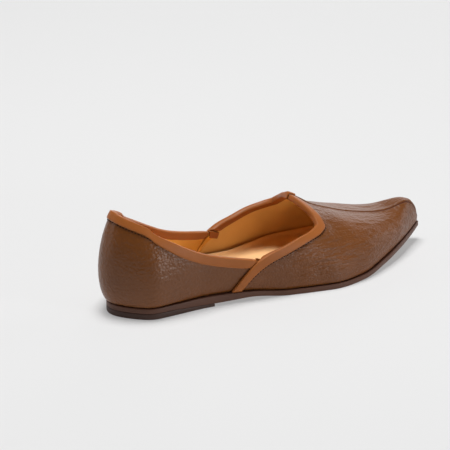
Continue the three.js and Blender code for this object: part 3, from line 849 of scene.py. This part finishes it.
def ledge(s):
    """Sole past the upper; it is trimmed closer behind the heel and at the toe."""
    return end_ledge + (sole_ledge - end_ledge) * smooth(s / 0.25) * (1 - smooth((s - 0.8) / 0.2))


def across_rings(right, count=10):
    """Closed rings from the right half of each: over the top to the left half and back below."""
    left = right[:, ::-1] * np.array([1.0, -1.0, 1.0])
    t = np.linspace(0, 1, count + 1)[1:-1, None]
    above = right[:, -1:] * (1 - t) + left[:, :1] * t
    below = left[:, -1:] * (1 - t) + right[:, :1] * t
    return np.concatenate([right, above, left, below], 1)


def bottom_rings(s, edge, z_top, z_bottom):
    """Rings across the shoe: a rounded edge on both sides, flat above and below. edge is a list of
    distance past the ledge and share of the height from bottom to top."""
    right = []
    for out, level in edge:
        x, y = outline(-1.0, s, ledge(s) + out)
        right.append(np.stack([x, y, z_bottom + (z_top - z_bottom) * level], -1))
    return across_rings(np.stack(right, 1))


stations = (1 - np.cos(np.pi * np.linspace(0, 1, 121))) / 2
angles = np.linspace(0, math.pi / 2, 5)
edge = [(-sole_low_round + sole_low_round * math.sin(a), 0.07 * (1 - math.cos(a))) for a in angles]
edge += [(0.05, 0.35), (0.05, 0.65)]
edge += [(-sole_top_round + sole_top_round * math.cos(a), 1 - 0.18 * (1 - math.sin(a))) for a in angles]
points, faces = tube(bottom_rings(stations, edge, sole_top(stations), sole_bottom(stations)), capped=False)
add_piece("outsole_dressed", points, faces, sole_leather, ["outsole"])

breast = heel_reach / last_length
s = breast * (1 - np.cos(np.linspace(0, 1, 49) * math.pi / 2))
edge = [(-heel_round + heel_round * math.sin(a), 0.14 * (1 - math.cos(a))) for a in angles]
edge += [(0.05, 0.4), (0.05, 0.7), (0.0, 0.93), (-0.15, 1.0)]
points, faces = tube(bottom_rings(s, edge, sole_bottom(s) - heel_gap, np.zeros(len(s))))
add_piece("heel_dressed", points, faces, heel_leather, ["heel"])

# Insole board up to the wall, and the sock on it
inset = lap_step + quarter_wall + 2 * clearance
tip = float(bisect(0.8, 1.0, lambda s: outline(1.0, s, -inset)[1] > 0))


def inset_rings(rows):
    """Rings across a thin piece inside the shoe. rows holds inset from the feather line and height over the
    sole."""
    s = (1 - np.cos(np.pi * np.linspace(0, 1, 101))) / 2 * tip
    right = []
    for gap, height in rows:
        x, y = outline(-1.0, s, -gap)
        y = np.minimum(y, 0.0)
        y[[0, -1]] = 0.0
        right.append(np.stack([x, y, sole_top(x / last_length) + height], -1))
    return across_rings(np.stack(right, 1))


# Edge of the board: further inset, and share of the height
board_edge = [(0.25, 0.0), (0.0, 0.3), (0.0, 0.6), (0.12, 0.88), (0.5, 1.0)]
rows = []
for more, share in board_edge:
    rows.append((inset - board_past + more, board_low + (board_high - board_low) * share))
points, faces = tube(inset_rings(rows), capped=False)
add_piece("insole_board", points, faces, vamp_lining_leather, ["insole"])

# Raised edge of the sock: further inset, and height over the sole
sock_edge = [
    (1.0, 1.5), (0.1, 4.0), (-0.4, 6.6), (0.0, 7.2), (0.5, 6.6), (1.2, 5.1), (2.4, 3.8), (4.4, 2.9),
    (8.0, 2.5)]
points, faces = tube(inset_rings([(inset + more, height) for more, height in sock_edge]), capped=False)
add_piece("sock_dressed", points, faces, sock_leather, ["insole"])


# Stitches below the bindings: height over the path and share of the radius, along one stitch
stitch_rise = np.array([-0.30, -0.08, 0.02, 0.05, 0.02, -0.08, -0.30])
stitch_taper = np.array([0.35, 0.85, 1.0, 1.0, 1.0, 0.85, 0.35])


def add_stitches(name, path, normal):
    """Short rounded stitches along a path. Their ends sink into the leather."""
    step = np.linalg.norm(np.diff(path, axis=0), axis=1)
    arc = np.concatenate([[0], np.cumsum(step)])
    count = int(arc[-1] // stitch_pitch)
    all_points = []
    all_faces = []
    base = 0
    for i in range(count):
        centre = (i + 0.5) * arc[-1] / count
        spots = centre + np.linspace(-0.5, 0.5, 7) * stitch_length
        p = np.stack([np.interp(spots, arc, path[:, a]) for a in range(3)], -1)
        n = unit(np.stack([np.interp(spots, arc, normal[:, a]) for a in range(3)], -1))
        rings = round_tube(p + n * stitch_rise[:, None], stitch_radius * stitch_taper, 6)
        points, faces = tube(rings)
        all_points.append(points)
        all_faces += [tuple(base + k for k in face) for face in faces]
        base += len(points)
    add_piece(name, np.concatenate(all_points), all_faces, thread, None)


for side_name, side_sign in (("right", -1.0), ("left", 1.0)):
    u = np.linspace(0.03, 0.985, 160)
    ss = reach_inside(side_sign, u, binding_width + stitch_offset)
    path = skin(side_sign, ss, u, np.full(u.shape, stitch_height))
    add_stitches("throat_stitches_" + side_name, path, last_normal(side_sign, ss, u))

side, share = heel_columns(np.linspace(-0.985, 0.985, 260))
ss = share * crossing
low = up_below(side, ss, top_up(ss), binding_width + stitch_offset)
path = skin(side, ss, low, quarter_out(ss) + stitch_height)
add_stitches("collar_stitches", path, last_normal(side, ss, low))

# Camera: fitted to the outlines of the shoe in the photograph
azimuth = math.radians(-32.602)
elevation = math.radians(21.624)
distance = 2.85714
off_right = 0.02295            # the picture's middle past the target, to the right and up
off_above = 0.02275
focal_pixels = 3693.35
picture_width = 450.0
sensor_width = 36.0
level = math.cos(elevation)
back = Vector((math.sin(azimuth) * level, -math.cos(azimuth) * level, math.sin(elevation)))
right = Vector((math.cos(azimuth), math.sin(azimuth), 0.0))
above = back.cross(right)
target = Vector((0.130 + shift / 1000, 0.0, 0.020))
eye = target + distance * back - off_right * right + off_above * above
camera_data = bpy.data.cameras.new("camera")
camera_data.sensor_width = sensor_width
camera_data.sensor_fit = "HORIZONTAL"
camera_data.lens = focal_pixels * sensor_width / picture_width
camera_data.clip_start = 0.1
camera_data.clip_end = 50.0
camera = bpy.data.objects.new("camera", camera_data)
bpy.context.scene.collection.objects.link(camera)
camera.matrix_world = Matrix((
    (right.x, above.x, back.x, eye.x),
    (right.y, above.y, back.y, eye.y),
    (right.z, above.z, back.z, eye.z),
    (0.0, 0.0, 0.0, 1.0)))
bpy.context.scene.camera = camera

# Floor and light
floor_mesh = bpy.data.meshes.new("floor")
floor_mesh.from_pydata([(-6, -6, 0), (6, -6, 0), (6, 6, 0), (-6, 6, 0)], [], [(0, 1, 2, 3)])
floor = bpy.data.objects.new("floor", floor_mesh)
bpy.context.scene.collection.objects.link(floor)
floor_material, nodes, links = new_material("floor_pale")
nodes["Principled BSDF"].inputs["Base Color"].default_value = (0.46, 0.46, 0.46, 1)
nodes["Principled BSDF"].inputs["Emission Color"].default_value = (1, 1, 1, 1)
nodes["Principled BSDF"].inputs["Emission Strength"].default_value = 0.32
nodes["Principled BSDF"].inputs["Roughness"].default_value = 0.95
nodes["Principled BSDF"].inputs["Specular IOR Level"].default_value = 0.1
floor.data.materials.append(floor_material)

# The studio: a white sweep behind and to the sides, a large soft light above, a dim room in front, and five
# soft boxes for the shine on the leather
world = bpy.data.worlds.new("world")
world.use_nodes = True
bpy.context.scene.world = world
bpy.context.scene.view_settings.view_transform = "Standard"
nodes = world.node_tree.nodes
links = world.node_tree.links
direction = nodes.new("ShaderNodeTexCoord")
split = nodes.new("ShaderNodeSeparateXYZ")
links.new(direction.outputs["Generated"], split.inputs["Vector"])
overhead = nodes.new("ShaderNodeMapRange")
overhead.interpolation_type = "SMOOTHSTEP"
overhead.inputs["From Min"].default_value = 0.25
overhead.inputs["From Max"].default_value = 0.85
overhead.inputs["To Min"].default_value = 0.12
overhead.inputs["To Max"].default_value = 1.1
links.new(split.outputs["Z"], overhead.inputs["Value"])
toward = nodes.new("ShaderNodeVectorMath")
toward.operation = "DOT_PRODUCT"
toward.inputs[1].default_value = (0.62, 0.78, 0.0)
links.new(direction.outputs["Generated"], toward.inputs[0])
sweep = nodes.new("ShaderNodeMapRange")
sweep.interpolation_type = "SMOOTHSTEP"
sweep.inputs["From Min"].default_value = 0.30
sweep.inputs["From Max"].default_value = 0.90
sweep.inputs["To Min"].default_value = 0.0
sweep.inputs["To Max"].default_value = 2.4
links.new(toward.outputs["Value"], sweep.inputs["Value"])
both = nodes.new("ShaderNodeMath")
both.operation = "MAXIMUM"
links.new(overhead.outputs["Result"], both.inputs[0])
links.new(sweep.outputs["Result"], both.inputs[1])
links.new(both.outputs["Value"], nodes["Background"].inputs["Strength"])


def softbox(name, place, aim, size, power):
    """Square area light turned to a point, with its size in metres and its power in watts."""
    data = bpy.data.lights.new(name, "AREA")
    data.energy = power
    data.size = size
    light = bpy.data.objects.new(name, data)
    bpy.context.scene.collection.objects.link(light)
    light.location = place
    light.rotation_euler = (Vector(aim) - Vector(place)).to_track_quat("-Z", "Y").to_euler()


softbox("top_box", (-0.1, 0.15, 2.2), (0, 0, 0), 0.9, 50)
softbox("side_box", (0.72, -1.38, 0.22), (-0.08, 0, 0.04), 0.27, 6.6)
softbox("back_box", (1.15, 1.25, 0.42), (0.05, 0, 0.05), 1.0, 4.6)
softbox("right_box", (2.0, -0.05, 0.50), (0.05, 0, 0.05), 0.9, 6.0)
softbox("left_box", (-1.5, 0.65, 0.45), (-0.1, 0, 0.05), 0.8, 3.0)
